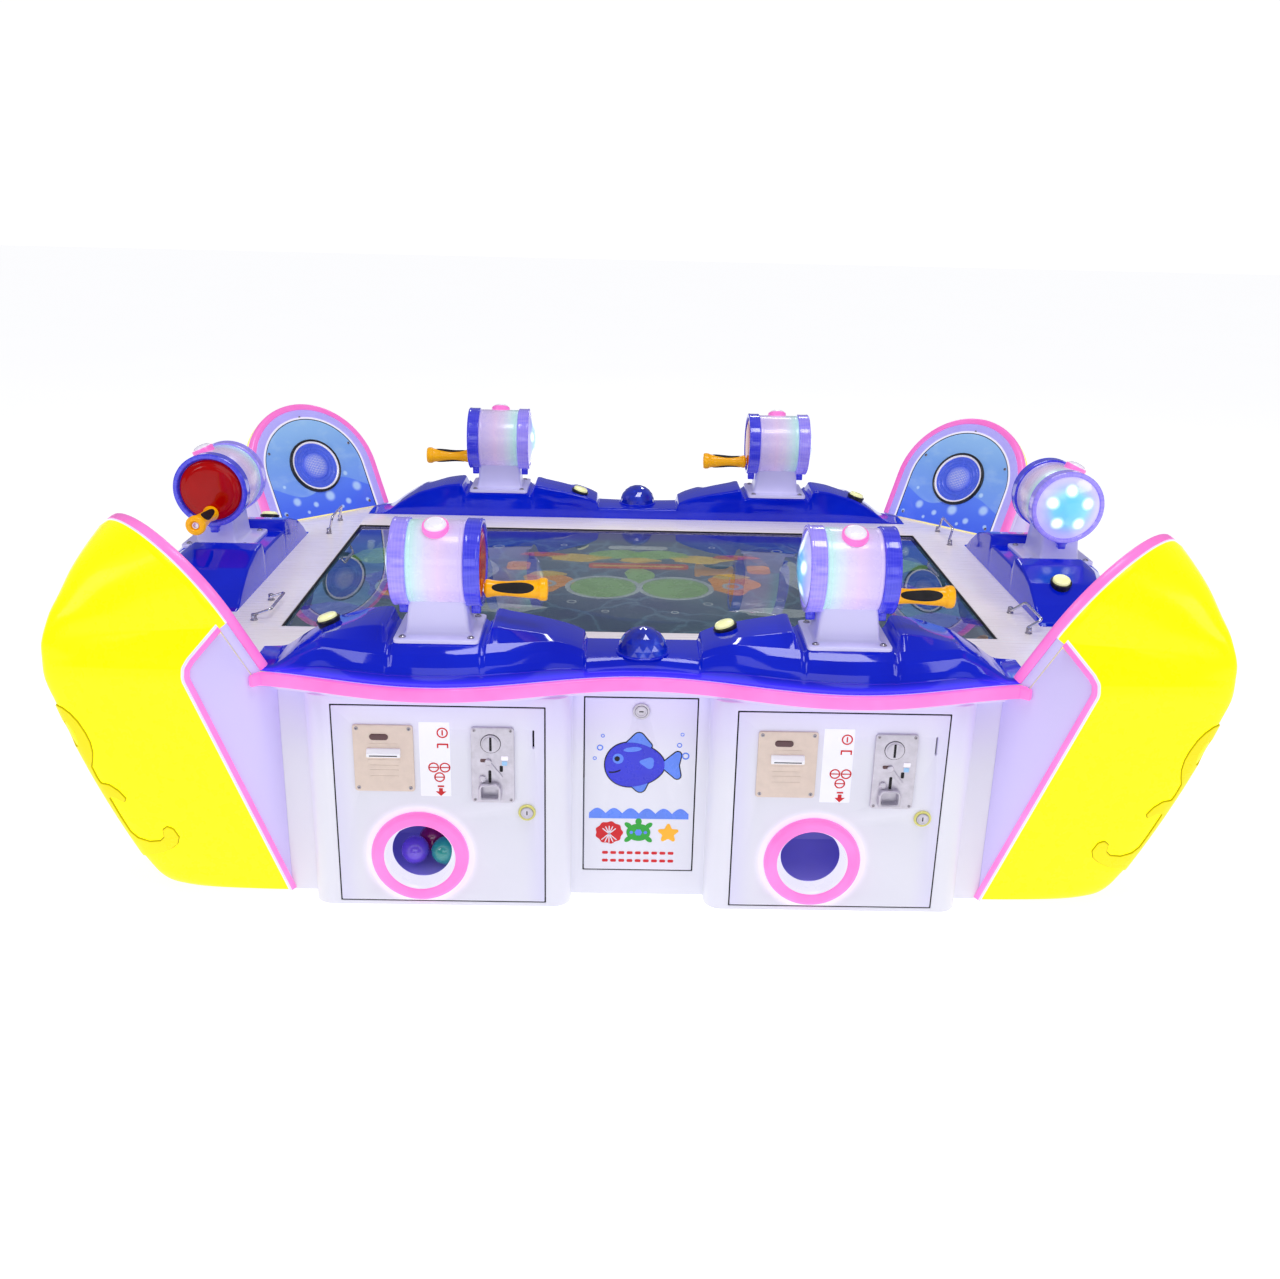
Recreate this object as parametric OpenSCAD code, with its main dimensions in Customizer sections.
// Six-player reel-crank game table: a low hollow cabinet with a flat screen under glass,
// six crank reels on moulded consoles, a prize door for each player and four bow-shaped corner units.
// Millimetres. Origin: centre of the footprint on the floor. +Z up, -Y is the front, +X the right end.

/* [Cabinet] */
// Half length of the cabinet carcass, end to centre
cab_x = 761; // [755:1:765]
// Half depth of the cabinet carcass, front to centre
cab_y = 504; // [500:1:506]
// Height of the underside of the top deck
deck_z0 = 358; // [356:1:360]
// Height of the top of the top deck
deck_z1 = 385; // [384:1:386]
// Thickness of the cabinet boards
board_t = 18; // [15:1:20]
// Height of the rubber feet
foot_h = 6; // [5:1:8]

/* [Screen] */
// Half length of the visible screen opening
scr_x = 586; // [560:1:590]
// Half depth of the visible screen opening
scr_y = 329; // [310:1:333]
// Thickness of the screen surround sheet
sheet_t = 4; // [3:0.5:4.5]

/* [Reels] */
// Distance of the front and rear reels from the centre line of the machine, sideways
reel_x = 303; // [300:1:306]
// Distance of the front and rear reels from the centre, front to back
reel_y = 482; // [480:1:484]
// Distance of the end reels from the centre
end_x = 767; // [765:1:769]
// Height of the reel axis above the floor
reel_z = 548; // [540:1:555]
// Outer radius of the white drum
drum_r = 62; // [60:0.5:62.5]
// Half width of the white drum
drum_h = 41.5; // [40:0.5:43]
// Outer radius of the end rings
ring_r = 65.5; // [65:0.5:67]
// Width of an end ring
ring_w = 24; // [23:0.5:25]
// Distance of the grip from the reel axis
grip_off = 40; // [36:1:42]
// Radial clearance of a turning shaft in its bore
run_gap = 0.05; // [0.02:0.01:0.1]

/* [Prize doors] */
// Width of a prize door
door_w = 317; // [315:1:318]
// Height of the bottom edge of a prize door
door_z0 = 14; // [13:1:26]
// Height of the top edge of a prize door
door_z1 = 343; // [338:1:344]
// Gap round a door
door_gap = 1.5; // [1:0.25:2]
// Height of the centre of the prize outlet
outlet_z = 94; // [92:1:98]
// Inner radius of the outlet ring
outlet_r = 56.5; // [54:0.5:57]

/* [Corner units] */
// Half width of an arch panel
arch_w = 150; // [148:1:151]
// Lean of an arch panel away from the screen, in degrees
arch_lean = 28.4; // [27:0.2:30]
// Thickness of the corner shell
shell_t = 4; // [3:0.5:5]

/* [Hidden] */

white = [0.93, 0.92, 0.97];
blue = [0.05, 0.10, 0.65];
pink = [0.98, 0.50, 0.80];
yellow = [1.0, 0.93, 0.0];
steel = [0.75, 0.76, 0.78];
$fn = 64;

// stations: position and turn of the player's side
FL = [-reel_x, -reel_y, 0];
FR = [reel_x, -reel_y, 0];
RL = [-reel_x, reel_y, 180];
RR = [reel_x, reel_y, 180];
LE = [-end_x, 0, -90];
RE = [end_x, 0, 90];
STATIONS = [FL, FR, RL, RR, LE, RE];
// corner units: position of the arch base line and turn of its outward direction (+Y of the unit)
CX = 664;
CY = 407;
CORNERS = [[-CX, -CY, 135], [CX, -CY, 225], [-CX, CY, 45], [CX, CY, -45]];
face_y = -64;      // front plane of a wing, in a station's frame
btn_tilt = 18;     // tilt of a console button
reel_btn_tilt = 24;
dome_z = 412;

module at_station(s) translate([s[0], s[1], 0]) rotate([0, 0, s[2]]) children();
module at_stations() for (s = STATIONS) at_station(s) children();
module at_corner(c) translate([c[0], c[1], 0]) rotate([0, 0, c[2]]) children();
module at_corners() for (c = CORNERS) at_corner(c) children();
module quads() for (a = [0, 1], b = [0, 1]) mirror([a, 0, 0]) mirror([0, b, 0]) children();
module along_x() rotate([0, 90, 0]) children();          // z -> x, x -> -z
module facing_y() rotate([90, 0, 0]) children();         // z -> -y

// wavy outer edges of the deck
function wave_y(x) = 547 - 30 * cos(360 * x / 620);
function wave_x(y) = 820 + 42 * cos(180 * y / 340);
function ridge_y(x) = wave_y(x) - 22 + 10 * cos(360 * x / 620);
function ridge_x(y) = wave_x(y) - 22 - 10 * cos(180 * y / 340);

module rounded_rect(x0, y0, x1, y1, r) {
  translate([x0 + r, y0]) square([x1 - x0 - 2 * r, y1 - y0]);
  translate([x0, y0 + r]) square([x1 - x0, y1 - y0 - 2 * r]);
  for (x = [x0 + r, x1 - r], y = [y0 + r, y1 - r]) translate([x, y]) circle(r);
}
module octagon(x, y, cut) polygon([[-x, -(cut - x)], [-(cut - y), -y], [cut - y, -y], [x, -(cut - x)],
  [x, cut - x], [cut - y, y], [-(cut - y), y], [-x, cut - x]]);

module carcass_plan(d) {
  octagon(cab_x - d, cab_y - d, 1052.6 - 1.4 * d);
  for (s = [-1, 1]) translate([s * 305, 0]) rounded_rect(-200 + d, -546 + d, 200 - d, 546 - d, 28 - d * 0.5);
  rounded_rect(-831 + d, -200 + d, 831 - d, 200 - d, 28 - d * 0.5);
}
module door_hole_2d() translate([-door_w / 2 - door_gap, door_z0 - door_gap]) square([door_w + 2 * door_gap, door_z1 - door_z0 + 2 * door_gap]);

module levelling_feet() color([0.1, 0.1, 0.1])
  quads() for (p = [[440, 440], [140, 440], [720, 150]]) translate([p[0], p[1], 0]) cylinder(r = 22, h = foot_h);

module cabinet_carcass() color(white) {
  difference() {
    translate([0, 0, foot_h]) linear_extrude(deck_z0 - foot_h) carcass_plan(0);
    translate([0, 0, foot_h + board_t]) linear_extrude(deck_z0) carcass_plan(board_t);
    at_stations() translate([0, face_y + board_t + 6, 0]) facing_y() linear_extrude(board_t + 12) door_hole_2d();
    for (a = [0, 180]) rotate([0, 0, a]) translate([0, -cab_y + board_t + 2, 0]) facing_y()
      linear_extrude(board_t + 12) translate([-86 - door_gap, 50 - door_gap]) square([172 + 2 * door_gap, 295 + 2 * door_gap]);
    translate([-60, 480, 15]) cube([48, 60, 28]);
  }
}

module deck_plan() intersection() {
  octagon(900, 640, 1070.4);
  union() {
    square([2 * cab_x, 2 * cab_y], center = true);
    polygon([for (x = [-574:14:574]) [x, -wave_y(x)], for (x = [574:-14:-574]) [x, wave_y(x)]]);
    polygon([for (y = [-312:12:312]) [-wave_x(y), y], for (y = [312:-12:-312]) [wave_x(y), y]]);
  }
}
module top_deck() color(white) {
  difference() {
    translate([0, 0, deck_z0]) linear_extrude(deck_z1 - deck_z0) deck_plan();
    translate([-598, -341, deck_z0 - 1]) cube([1196, 682, 40]);
  }
  difference() {
    translate([-612, -356, 322]) cube([1224, 712, deck_z0 - 322]);
    translate([-594, -338, 330]) cube([1188, 676, 40]);
    translate([-560, -305, 300]) cube([1120, 610, 40]);
  }
}
module lcd_panel() color([0.1, 0.2, 0.4]) translate([-592, -336, 330]) cube([1184, 672, 48]);
module cover_glass() color([0.7, 0.85, 0.95, 0.4]) translate([-597, -340, 378]) cube([1194, 680, deck_z1 - 378]);
module display_frame() color([0.88, 0.87, 0.90]) difference() {
  translate([0, 0, deck_z1]) linear_extrude(sheet_t) difference() {
    octagon(770, 512, 1069);
    square([2 * scr_x, 2 * scr_y], center = true);
    for (s = [-1, 1]) translate([0, s * 521]) square([1174, 200], center = true);
    for (s = [-1, 1]) translate([s * 777, 0]) square([200, 522], center = true);
  }
}

// console height tables, along the console from its middle
LONG_Z = [[0, 412], [86, 412], [88.5, 425], [105, 433], [127, 439.5], [165, 448], [205, 455], [216, 458], [224, 458], [231, 438], [237, 436], [239, 441],
 [367, 441], [369, 436], [375, 438], [382, 458], [390, 459], [420, 455], [478, 438], [520, 413], [550, 391], [586, 389]];
END_Z = [[0, 441], [64, 441], [66, 436], [72, 438], [79, 458], [87, 459], [117, 455], [175, 438], [217, 413], [245, 391], [260, 389]];
LONG_X = [0, 20, 40, 60, 86, 88.5, 105, 125, 145, 165, 185, 205, 216, 224, 231, 237, 239, 256, 274, 292, 310, 328, 346, 367, 369, 375, 382, 390, 405, 420, 440, 460, 478, 500, 520, 535, 550, 568, 586];
END_X = [0, 16, 32, 48, 64, 66, 72, 79, 87, 102, 117, 136, 156, 175, 196, 217, 231, 245, 260];
// one cross-section of a console: w0 inner face, wr ridge, wo outer edge, h crown height
function section(w0, wr, wo, h) = let (hr = min(h - 0.5, 440.5), b = deck_z1, d = hr - b)
  [[w0, b], [w0, h - 3], [w0 + 3, h], [max(w0 + 8, wr - 24), h], [wr, hr], [wr + (wo - wr) * 0.5, hr - d * 0.2],
   [wr + (wo - wr) * 0.8, hr - d * 0.5], [wo, b + d * 0.1], [wo, b]];
function mirrored(v) = [for (i = [len(v) - 1:-1:1]) -v[i], for (i = [0:len(v) - 1]) v[i]];
module strip_loft(xs, rings) {
  n = len(rings[0]);
  m = len(xs);
  polyhedron(points = [for (i = [0:m - 1], p = rings[i]) [xs[i], -p[0], p[1]]],
    faces = concat([[for (j = [0:n - 1]) j]], [[for (j = [n - 1:-1:0]) (m - 1) * n + j]],
      [for (i = [0:m - 2], j = [0:n - 1]) let (k = (j + 1) % n) each [[i * n + j, (i + 1) * n + k, i * n + k], [i * n + j, (i + 1) * n + j, (i + 1) * n + k]]]));
}
module consoles() color(blue) {
  lx = mirrored(LONG_X);
  lr = [for (x = lx) section(421, ridge_y(x), wave_y(x) - 1, lookup(abs(x), LONG_Z))];
  ex = mirrored(END_X);
  er = [for (x = ex) section(677, ridge_x(x), wave_x(x) - 1, lookup(abs(x), END_Z))];
  for (a = [0, 180]) rotate([0, 0, a]) strip_loft(lx, lr);
  for (a = [90, 270]) rotate([0, 0, a]) strip_loft(ex, er);
}

// pink edge strip round the deck, between the corner units
module long_band(a, b) polygon([for (x = [-576:12:576]) [x, -wave_y(x) - a], for (x = [576:-12:-576]) [x, -wave_y(x) - b]]);
module end_band(a, b) polygon([for (y = [-318:12:318]) [y, -wave_x(y) - a], for (y = [318:-12:-318]) [y, -wave_x(y) - b]]);
module edge_mouldings() color(pink) {
  translate([0, 0, deck_z0]) linear_extrude(deck_z1 - deck_z0) {
    for (a = [0, 180]) rotate([0, 0, a]) intersection() {
      long_band(0.1, 10);
      polygon([[-586, -544.1], [-517.4, -475.5], [517.4, -475.5], [586, -544.1], [586, -700], [-586, -700]]);
    }
    for (a = [90, 270]) rotate([0, 0, a]) intersection() {
      end_band(0.1, 10);
      polygon([[-326, -798.1], [-277.4, -749.5], [277.4, -749.5], [326, -798.1], [326, -900], [-326, -900]]);
    }
  }
}
module console_domes() color([0.1, 0.2, 0.9, 0.7]) for (s = [-1, 1]) intersection() {
  translate([0, s * 480, dome_z - 7]) sphere(r = 39, $fn = 48);
  translate([-50, s * 480 - 50, dome_z + 0.2]) cube([100, 100, 60]);
}

// ---- corner units: u across the arch, +Y outward ----
function arch_pts(w, t0) = concat([[-w, t0]], [for (a = [180:-7.5:0]) [w * cos(a), 100 + w * sin(a)]], [[w, t0]]);
module on_arch() translate([0, 0, 390]) rotate([90 - arch_lean, 0, 0]) children();   // x across, y up the slope, z towards the screen
module arch_panels() color(white) at_corners() difference() {
  on_arch() translate([0, 0, -24]) linear_extrude(24) polygon(arch_pts(arch_w - 4.1, 1));
  on_arch() translate([0, 110, -30]) cylinder(r = 47, h = 40);
  translate([-170, -30, 360]) cube([340, 80, 31.7]);
}
module speakers() color([0.12, 0.12, 0.15]) at_corners() on_arch() {
  translate([0, 110, 0.05]) rotate_extrude() polygon([[46, 0], [59, 0], [59, 5], [55, 8], [46, 6]]);
  translate([0, 110, -3]) cylinder(r = 46, h = 7);
  translate([0, 110, -58]) cylinder(r1 = 26, r2 = 44, h = 55);
  translate([0, 110, -76]) cylinder(r = 34, h = 18.1);
}
// wall outline in the plane of a side wall: [outward, height]
WALL = [[-12.8, foot_h + 9.5], [126.5, 404], [123.5, 419], [115.5, 428], [69, 458.5], [24.6, 376.6], [1, 376.6], [1, deck_z0 - 0.5], [-12.8, deck_z0 - 0.5]];
module side_plane() rotate([90, 0, 90]) children();   // x -> y, y -> z, z -> x
module corner_walls() color(white) at_corners() for (s = [0, 1]) mirror([s, 0, 0])
  translate([arch_w - 12, 0, 0]) side_plane() linear_extrude(12) polygon(WALL);

function ridge_o(z) = lookup(z, [[0, 92], [14, 118], [30, 132], [53, 145], [75, 156], [355, 254], [404, 265], [440, 264], [481, 249], [510, 228], [546, 201], [575, 172], [597, 144]]);
function arch_t(z) = (z - 377.4) / 0.8796;
function edge_u(z) = z < 470 ? arch_w : max(9, sqrt(max(0, arch_w * arch_w - pow(max(0, arch_t(z) - 100), 2))));
function edge_o(z) = z < 404 ? -13 + 145 * z / 404 : lookup(z, [[404, 132], [420, 129], [430, 121], [466, 71.5], [481, 79.3], [597.2, 142.3]]);
function bow_o(u, ub, ob, r) = let (d = max(0.5, ridge_o(r) - ob), rho = r > 455 ? min(60, 12 + (r - 455) * 0.6) : (d < ub - 12 ? (ub * ub - d * d) / (2 * d) : 12),
  k = d / (sqrt(ub * ub + rho * rho) - rho)) ob + k * (sqrt(ub * ub + rho * rho) - sqrt(u * u + rho * rho));
SHELL_Z = [foot_h, 14, 30, 53, 75, 130, 200, 280, 355, 385, 404, 417, 430, 448, 466, 481, 500, 520, 540, 560, 575, 588, 594, 597];
SHELL_N = 8;
module corner_shell() {
  nu = 2 * SHELL_N + 1;
  nz = len(SHELL_Z);
  outer = [for (z = SHELL_Z, i = [-SHELL_N:SHELL_N]) let (ub = edge_u(z), ob = edge_o(z), f = i / SHELL_N, u = ub * (abs(f) < 1 ? sign(f) * pow(abs(f), 1.15) : f)) [u, bow_o(u, ub, ob, z), z]];
  inner = [for (p = outer) let (ub = edge_u(p[2])) [p[0] * (ub - shell_t) / ub, max(p[1] - shell_t - 0.5, p[2] > 465 ? edge_o(p[2]) + 0.5 * (1 - abs(p[0]) / ub) : -12.9), p[2]]];
  no = nu * nz;
  polyhedron(points = concat(outer, inner), faces = concat(
    [for (k = [0:nz - 2], i = [0:nu - 2]) let (a = k * nu + i, b = a + 1, c = a + nu + 1, d = a + nu) each [[a, b, c], [a, c, d]]],
    [for (k = [0:nz - 2], i = [0:nu - 2]) let (a = no + k * nu + i, b = a + 1, c = a + nu + 1, d = a + nu) each [[a, c, b], [a, d, c]]],
    [for (i = [0:nu - 2]) each [[i, no + i, no + i + 1], [i, no + i + 1, i + 1]]],
    [for (i = [0:nu - 2]) let (a = (nz - 1) * nu + i) each [[a, a + 1, no + a + 1], [a, no + a + 1, no + a]]],
    [for (k = [0:nz - 2]) let (a = k * nu, d = a + nu) each [[a, d, no + d], [a, no + d, no + a]]],
    [for (k = [0:nz - 2]) let (a = k * nu + nu - 1, d = a + nu) each [[a, no + d, d], [a, no + a, no + d]]]));
}
module corner_shells() color(yellow) at_corners() corner_shell();

function heading(p, i) = (p[i + 1] - p[i]) / norm(p[i + 1] - p[i]);
function beside(p, d) = [for (i = [0:len(p) - 1]) let (a = heading(p, max(i - 1, 0)), b = heading(p, min(i, len(p) - 2)),
  n = [-a[1] - b[1], a[0] + b[0]] / norm(a + b)) p[i] + n * d / (n * [-a[1], a[0]])];
module band(p, w) {
  r = beside(p, -w / 2);
  polygon(concat(beside(p, w / 2), [for (i = [len(r) - 1:-1:0]) r[i]]));
}
module corner_trims() color(pink) at_corners() {
  on_arch() {
    translate([0, 0, -26]) linear_extrude(26) difference() {
      polygon(arch_pts(arch_w + 2, 3));
      polygon(arch_pts(arch_w - 4, 0));
    }
    translate([0, 0, 0.05]) linear_extrude(3) difference() {
      polygon(arch_pts(arch_w + 2, 3));
      polygon(arch_pts(arch_w - 14, -5));
    }
  }
  for (s = [0, 1]) mirror([s, 0, 0]) translate([arch_w + 0.2, 0, 0]) side_plane() linear_extrude(5)
    intersection() {
      band([[-12, 7.2], [130, 404], [128, 419], [120, 429], [62, 477.3]], 12);
      polygon([[-12.9, foot_h - 4], [300, foot_h - 4], [300, 500], [86.3, 491.7], [0.7, 333.4], [-12.9, 333.4]]);
    }
}

// ---- reels ----
module reel_pedestals() color(white) at_stations() {
  difference() {
    union() {
      translate([0, 0, 441.1]) linear_extrude(5.9) rounded_rect(-62.5, -62.5, 62.5, 62.5, 8);
      intersection() {
        translate([0, 50, 0]) facing_y() linear_extrude(100) polygon([[-47, 446], [47, 446], [40, 515], [-40, 515]]);
        translate([-60, 0, 0]) side_plane() linear_extrude(120) polygon([[-38, 446], [34, 446], [30, 515], [-33, 515]]);
      }
    }
    translate([-80, 0, reel_z]) along_x() cylinder(r = drum_r + 0.05, h = 160);
    for (s = [-1, 1]) translate([s * 61 - 20, 0, reel_z]) along_x() cylinder(r = ring_r + 0.1, h = 40);
    for (x = [-50, 50], y = [-50, 50]) translate([x, y, 430]) cylinder(r = 2.7, h = 30);
  }
}
module reel_drums() color(white) at_stations() translate([0, 0, reel_z]) along_x() rotate_extrude()
  polygon([[drum_r - 6, -drum_h + 0.1], [drum_r - 1, -drum_h + 0.1], [drum_r, -drum_h + 3], [drum_r, drum_h - 3], [drum_r - 1, drum_h - 0.1], [drum_r - 6, drum_h - 0.1]]);
module reel_end_rings() color([0.25, 0.28, 0.85, 0.8]) at_stations() translate([0, 0, reel_z]) along_x() for (m = [0, 1]) mirror([0, 0, m])
  rotate_extrude() polygon([[8, drum_h], [ring_r - 1.5, drum_h], [ring_r, drum_h + 1.5], [ring_r, drum_h + ring_w - 1.5], [ring_r - 1.5, drum_h + ring_w], [57, drum_h + ring_w], [57, drum_h + 6], [8, drum_h + 6]]);
module reel_lenses() color([0.7, 0.85, 1.0, 0.6]) at_stations() translate([0, 0, reel_z]) along_x() {
  difference() {
    intersection() {
      translate([0, 0, 121.0 - 77.5]) sphere(r = 121.0, $fn = 96);
      translate([0, 0, -80]) cylinder(r = 56.7, h = 20);
    }
    translate([0, 0, 121.0 - 74]) sphere(r = 121.0, $fn = 96);
  }
}
module reel_internals() color([0.1, 0.45, 0.25]) at_stations() translate([0, 0, reel_z]) along_x() {
  difference() {
    translate([0, 0, 18]) cylinder(r = 17, h = 23.4);
    translate([0, 0, 10]) cylinder(r = 5 + run_gap, h = 50);
  }
  translate([0, 0, -50]) cylinder(r = 50, h = 2.4);
  for (i = [0:4]) rotate([0, 0, 72 * i]) translate([-32, 0, -54]) cylinder(r = 7, h = 4.05);
}
module crank() color([0.75, 0.05, 0.08]) translate([0, 0, reel_z]) along_x() {
  rotate_extrude() polygon([[0, 20], [5, 20], [5, 50], [12, 50], [12, 55], [53, 55], [54.4, 57], [54.4, 60], [50, 63], [30, 65.4], [0, 66.4]]);
  translate([grip_off, 0, 60]) cylinder(r = 9, h = 7);
  translate([grip_off, 0, 60]) cylinder(r = 4, h = 93);
  translate([grip_off, 0, 152.6]) cylinder(r = 7, h = 3.4);
}
module grip() color([1.0, 0.72, 0.0]) translate([0, 0, reel_z]) along_x() translate([grip_off, 0, 0]) rotate_extrude()
  polygon([[4 + run_gap, 67.6], [12.5, 67.6], [14, 70], [12.4, 78], [11.2, 96], [12.6, 116], [13.6, 132], [14, 142], [17, 149], [17, 157], [15, 160], [8, 160], [8, 152.2], [4 + run_gap, 152.2]]);

module on_reel_button() translate([0, 0, reel_z]) rotate([reel_btn_tilt, 0, 0]) children();
module on_console_button() translate([-176, 35, 440]) rotate([0, -btn_tilt, 0]) children();
module button_bezels() at_stations() {
  color(pink) on_reel_button() translate([0, 0, 0]) rotate_extrude() polygon([[16.5, 57], [19.5, 57], [19.5, 68], [18.4, 69.5], [16.5, 69.5]]);
  color([0.05, 0.05, 0.05]) on_console_button() rotate_extrude() polygon([[15.3, -14], [18.5, -14], [18.5, 4], [17.5, 5.5], [15.3, 5.5]]);
}
module reel_button() color([0.98, 0.97, 0.98]) on_reel_button() translate([0, 0, 66.2]) rotate_extrude() polygon([[0, 0], [16.4, 0], [16.4, 4], [15, 6.2], [10, 8.2], [0, 9.2]]);
module console_button() color([1.0, 1.0, 0.55]) on_console_button() translate([0, 0, 4.2]) rotate_extrude() polygon([[0, 0], [15.2, 0], [15.2, 4], [14, 6], [9, 7.2], [0, 7.8]]);

// ---- prize doors, in a station's frame; d is the outer face ----
module prize_door() {
  d = face_y;
  color(white) difference() {
    translate([-door_w / 2, d, door_z0]) cube([door_w, board_t, door_z1 - door_z0]);
    translate([-33.5, d + 30, outlet_z]) facing_y() cylinder(r = outlet_r + 0.1, h = 50);
    translate([53, d - 5, 194]) cube([57, 40, 112]);
    translate([-122, d - 5, 210]) cube([79, 40, 97]);
    translate([131.5, d + 30, 171]) facing_y() cylinder(r = 9.6, h = 50);
    translate([140, d - 5, 277]) cube([3, 40, 30]);
  }
  // outlet ring and its inner cone
  color(pink) translate([-33.5, d, outlet_z]) facing_y() rotate_extrude() polygon([[outlet_r, 0], [75, 0], [75, 5], [72, 9], [68, 10], [62, 10], [58, 8.5], [outlet_r, 6]]);
  color(white) translate([-33.5, d, outlet_z]) facing_y() rotate_extrude() polygon([[46, -18.5], [49.5, -18.5], [56.4, -0.2], [56.4, 3], [53, 3]]);
  // coin selector: face plate, entry disc with its slot, return button, return cup, mechanism behind
  color(steel) difference() {
    union() {
      translate([48.5, d - 3.5, 188]) cube([64.5, 3.4, 124]);
      translate([53.5, d - 0.2, 194.5]) cube([56, 52, 111]);
      translate([78, d - 3.4, 286]) facing_y() cylinder(r = 14, h = 4);
      translate([100, d - 3.4, 262]) facing_y() cylinder(r = 6, h = 7);
      translate([59, d - 12, 194]) cube([34, 8.7, 28]);
    }
    translate([76.6, d - 10, 275]) cube([2.8, 30, 22]);
    translate([63, d - 14, 198]) cube([26, 20, 20]);
  }
  // ticket plate: champagne plate, outlet lip and dispenser behind
  color([0.85, 0.80, 0.74]) {
    translate([-127.5, d - 2.5, 204]) cube([90, 2.4, 109]);
    translate([-107, d - 10, 262]) cube([50, 7.6, 13]);
    translate([-104, d - 3.2, 289]) cube([36, 0.8, 10]);
    translate([-121.5, d - 0.2, 210.5]) cube([78, 60, 96]);
  }
  // cam lock turned to its open position
  color(steel) translate([131.5, d, 171]) facing_y() {
    translate([0, 0, 0.05]) cylinder(r = 13, h = 2.6);
    translate([0, 0, -26]) cylinder(r = 9.4, h = 30);
    translate([-6, -30, -24]) cube([12, 34, 2.5]);
  }
}
module prize_chutes() color([0.85, 0.83, 0.95]) at_stations() {
  difference() {
    translate([-108.5, -41, 24.1]) cube([150, 110, 145.9]);
    translate([-105.5, 0, 0]) side_plane() linear_extrude(144) polygon([[-45, 46], [-45, 167], [66, 167], [66, 62], [20, 50]]);
    translate([-70, 32, 160]) cylinder(r = 31, h = 20);
    translate([-105.5, 0, 0]) side_plane() linear_extrude(144) polygon([[-38, 29], [66, 29], [66, 58], [20, 46], [-38, 42]]);
  }
  translate([-70, 32, 170.1]) difference() {
    cylinder(r = 34, h = 120);
    translate([0, 0, -1]) cylinder(r = 31, h = 130);
  }
}
module capsules() color([0.6, 0.2, 0.7]) at_station(FL) {
  translate([-50, -12, 74.8]) sphere(r = 22, $fn = 40);
  translate([-3, -14, 74.8]) sphere(r = 22, $fn = 40);
  translate([-27, 26, 76.5]) sphere(r = 22, $fn = 40);
}
module service_door(lock = true) {
  color(white) difference() {
    translate([-86, -cab_y, 50]) cube([172, 16, 295]);
    translate([0, -cab_y + 20, 324]) facing_y() cylinder(r = 9.6, h = 50);
  }
  color(steel) translate([0, -cab_y, 324]) facing_y() {
    translate([0, 0, 0.05]) cylinder(r = 13, h = 2.6);
    translate([0, 0, -24]) cylinder(r = 9.4, h = 28);
    translate([-30, -6, -22]) cube([34, 12, 2.5]);
  }
}
module game_electronics() color([0.15, 0.16, 0.18]) {
  translate([-180, -120, 24 + 0.1]) cube([360, 240, 90]);
  translate([-420, -80, 24.1]) cube([215, 115, 50]);
  translate([220, -60, 24.1]) cube([160, 120, 45]);
  translate([-59.5, 462, 24.2]) cube([47, 46.5, 18.6]);
}

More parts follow.
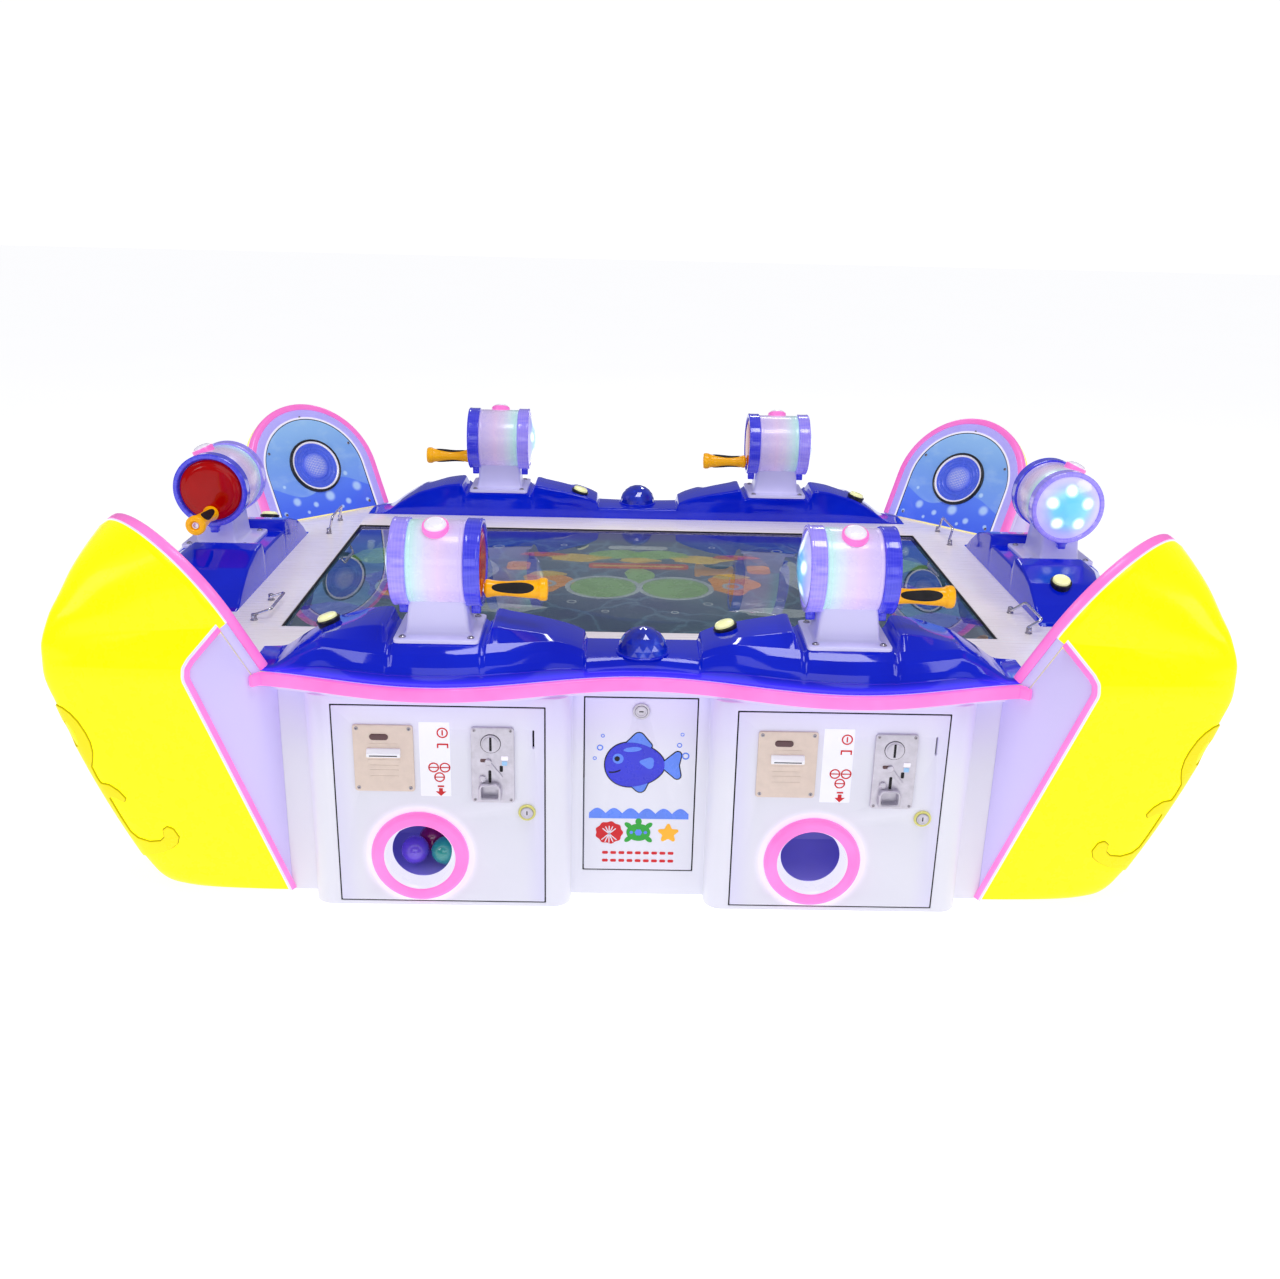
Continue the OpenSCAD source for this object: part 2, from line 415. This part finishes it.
// ---- bails and fixings ----
BAILS = [[-636, -248, 70], [645, -244, 56], [-634, 304, 14], [646, 308, 12]];
pivot_z = 396;
module bail(b) color(steel) translate([b[0], b[1], pivot_z]) rotate([0, b[2], 0]) {
  for (s = [-1, 1]) {
    translate([0, s * 46, -2]) cylinder(r = 2.4, h = 31.5);
    translate([0, s * 44, 0]) rotate([-90 * s, 0, 0]) cylinder(r = 2.5, h = 15);
  }
  translate([0, -48.2, 27.6]) rotate([-90, 0, 0]) cylinder(r = 2.5, h = 96.4);
}
module fixings() color(steel) {
  at_stations() for (x = [-50, 50], y = [-50, 50]) translate([x, y, 447.05]) cylinder(r1 = 5, r2 = 3.6, h = 2.2);
  for (b = BAILS, s = [-1, 1]) difference() {
    union() {
      translate([b[0], b[1] + s * 54, deck_z1 + sheet_t + 0.05]) cylinder(r = 6, h = 2);
      translate([b[0], b[1] + s * 54, deck_z1 + sheet_t + 1]) cylinder(r = 4.5, h = 10);
    }
    translate([b[0], b[1] + s * 54 - 10, pivot_z]) rotate([-90, 0, 0]) cylinder(r = 2.5 + run_gap, h = 20);
  }
}

levelling_feet();
cabinet_carcass();
top_deck();
lcd_panel();
cover_glass();
display_frame();
consoles();
edge_mouldings();
console_domes();
corner_walls();
corner_shells();
corner_trims();
arch_panels();
speakers();
reel_pedestals();
reel_drums();
reel_end_rings();
reel_lenses();
reel_internals();
button_bezels();
prize_chutes();
game_electronics();
capsules();
fixings();
service_door();  // service_door_front
rotate([0, 0, 180]) service_door();  // service_door_rear
at_station(FL) crank();  // crank_front_left
at_station(FR) crank();  // crank_front_right
at_station(RL) crank();  // crank_rear_left
at_station(RR) crank();  // crank_rear_right
at_station(LE) crank();  // crank_left_end
at_station(RE) crank();  // crank_right_end
at_station(FL) grip();  // grip_front_left
at_station(FR) grip();  // grip_front_right
at_station(RL) grip();  // grip_rear_left
at_station(RR) grip();  // grip_rear_right
at_station(LE) grip();  // grip_left_end
at_station(RE) grip();  // grip_right_end
at_station(FL) reel_button();  // reel_button_front_left
at_station(FR) reel_button();  // reel_button_front_right
at_station(RL) reel_button();  // reel_button_rear_left
at_station(RR) reel_button();  // reel_button_rear_right
at_station(LE) reel_button();  // reel_button_left_end
at_station(RE) reel_button();  // reel_button_right_end
at_station(FL) console_button();  // console_button_front_left
at_station(FR) console_button();  // console_button_front_right
at_station(RL) console_button();  // console_button_rear_left
at_station(RR) console_button();  // console_button_rear_right
at_station(LE) console_button();  // console_button_left_end
at_station(RE) console_button();  // console_button_right_end
at_station(FL) prize_door();  // prize_door_front_left
at_station(FR) prize_door();  // prize_door_front_right
at_station(RL) prize_door();  // prize_door_rear_left
at_station(RR) prize_door();  // prize_door_rear_right
at_station(LE) prize_door();  // prize_door_left_end
at_station(RE) prize_door();  // prize_door_right_end
bail(BAILS[0]);  // bail_front_left
bail(BAILS[1]);  // bail_front_right
bail(BAILS[2]);  // bail_rear_left
bail(BAILS[3]);  // bail_rear_right
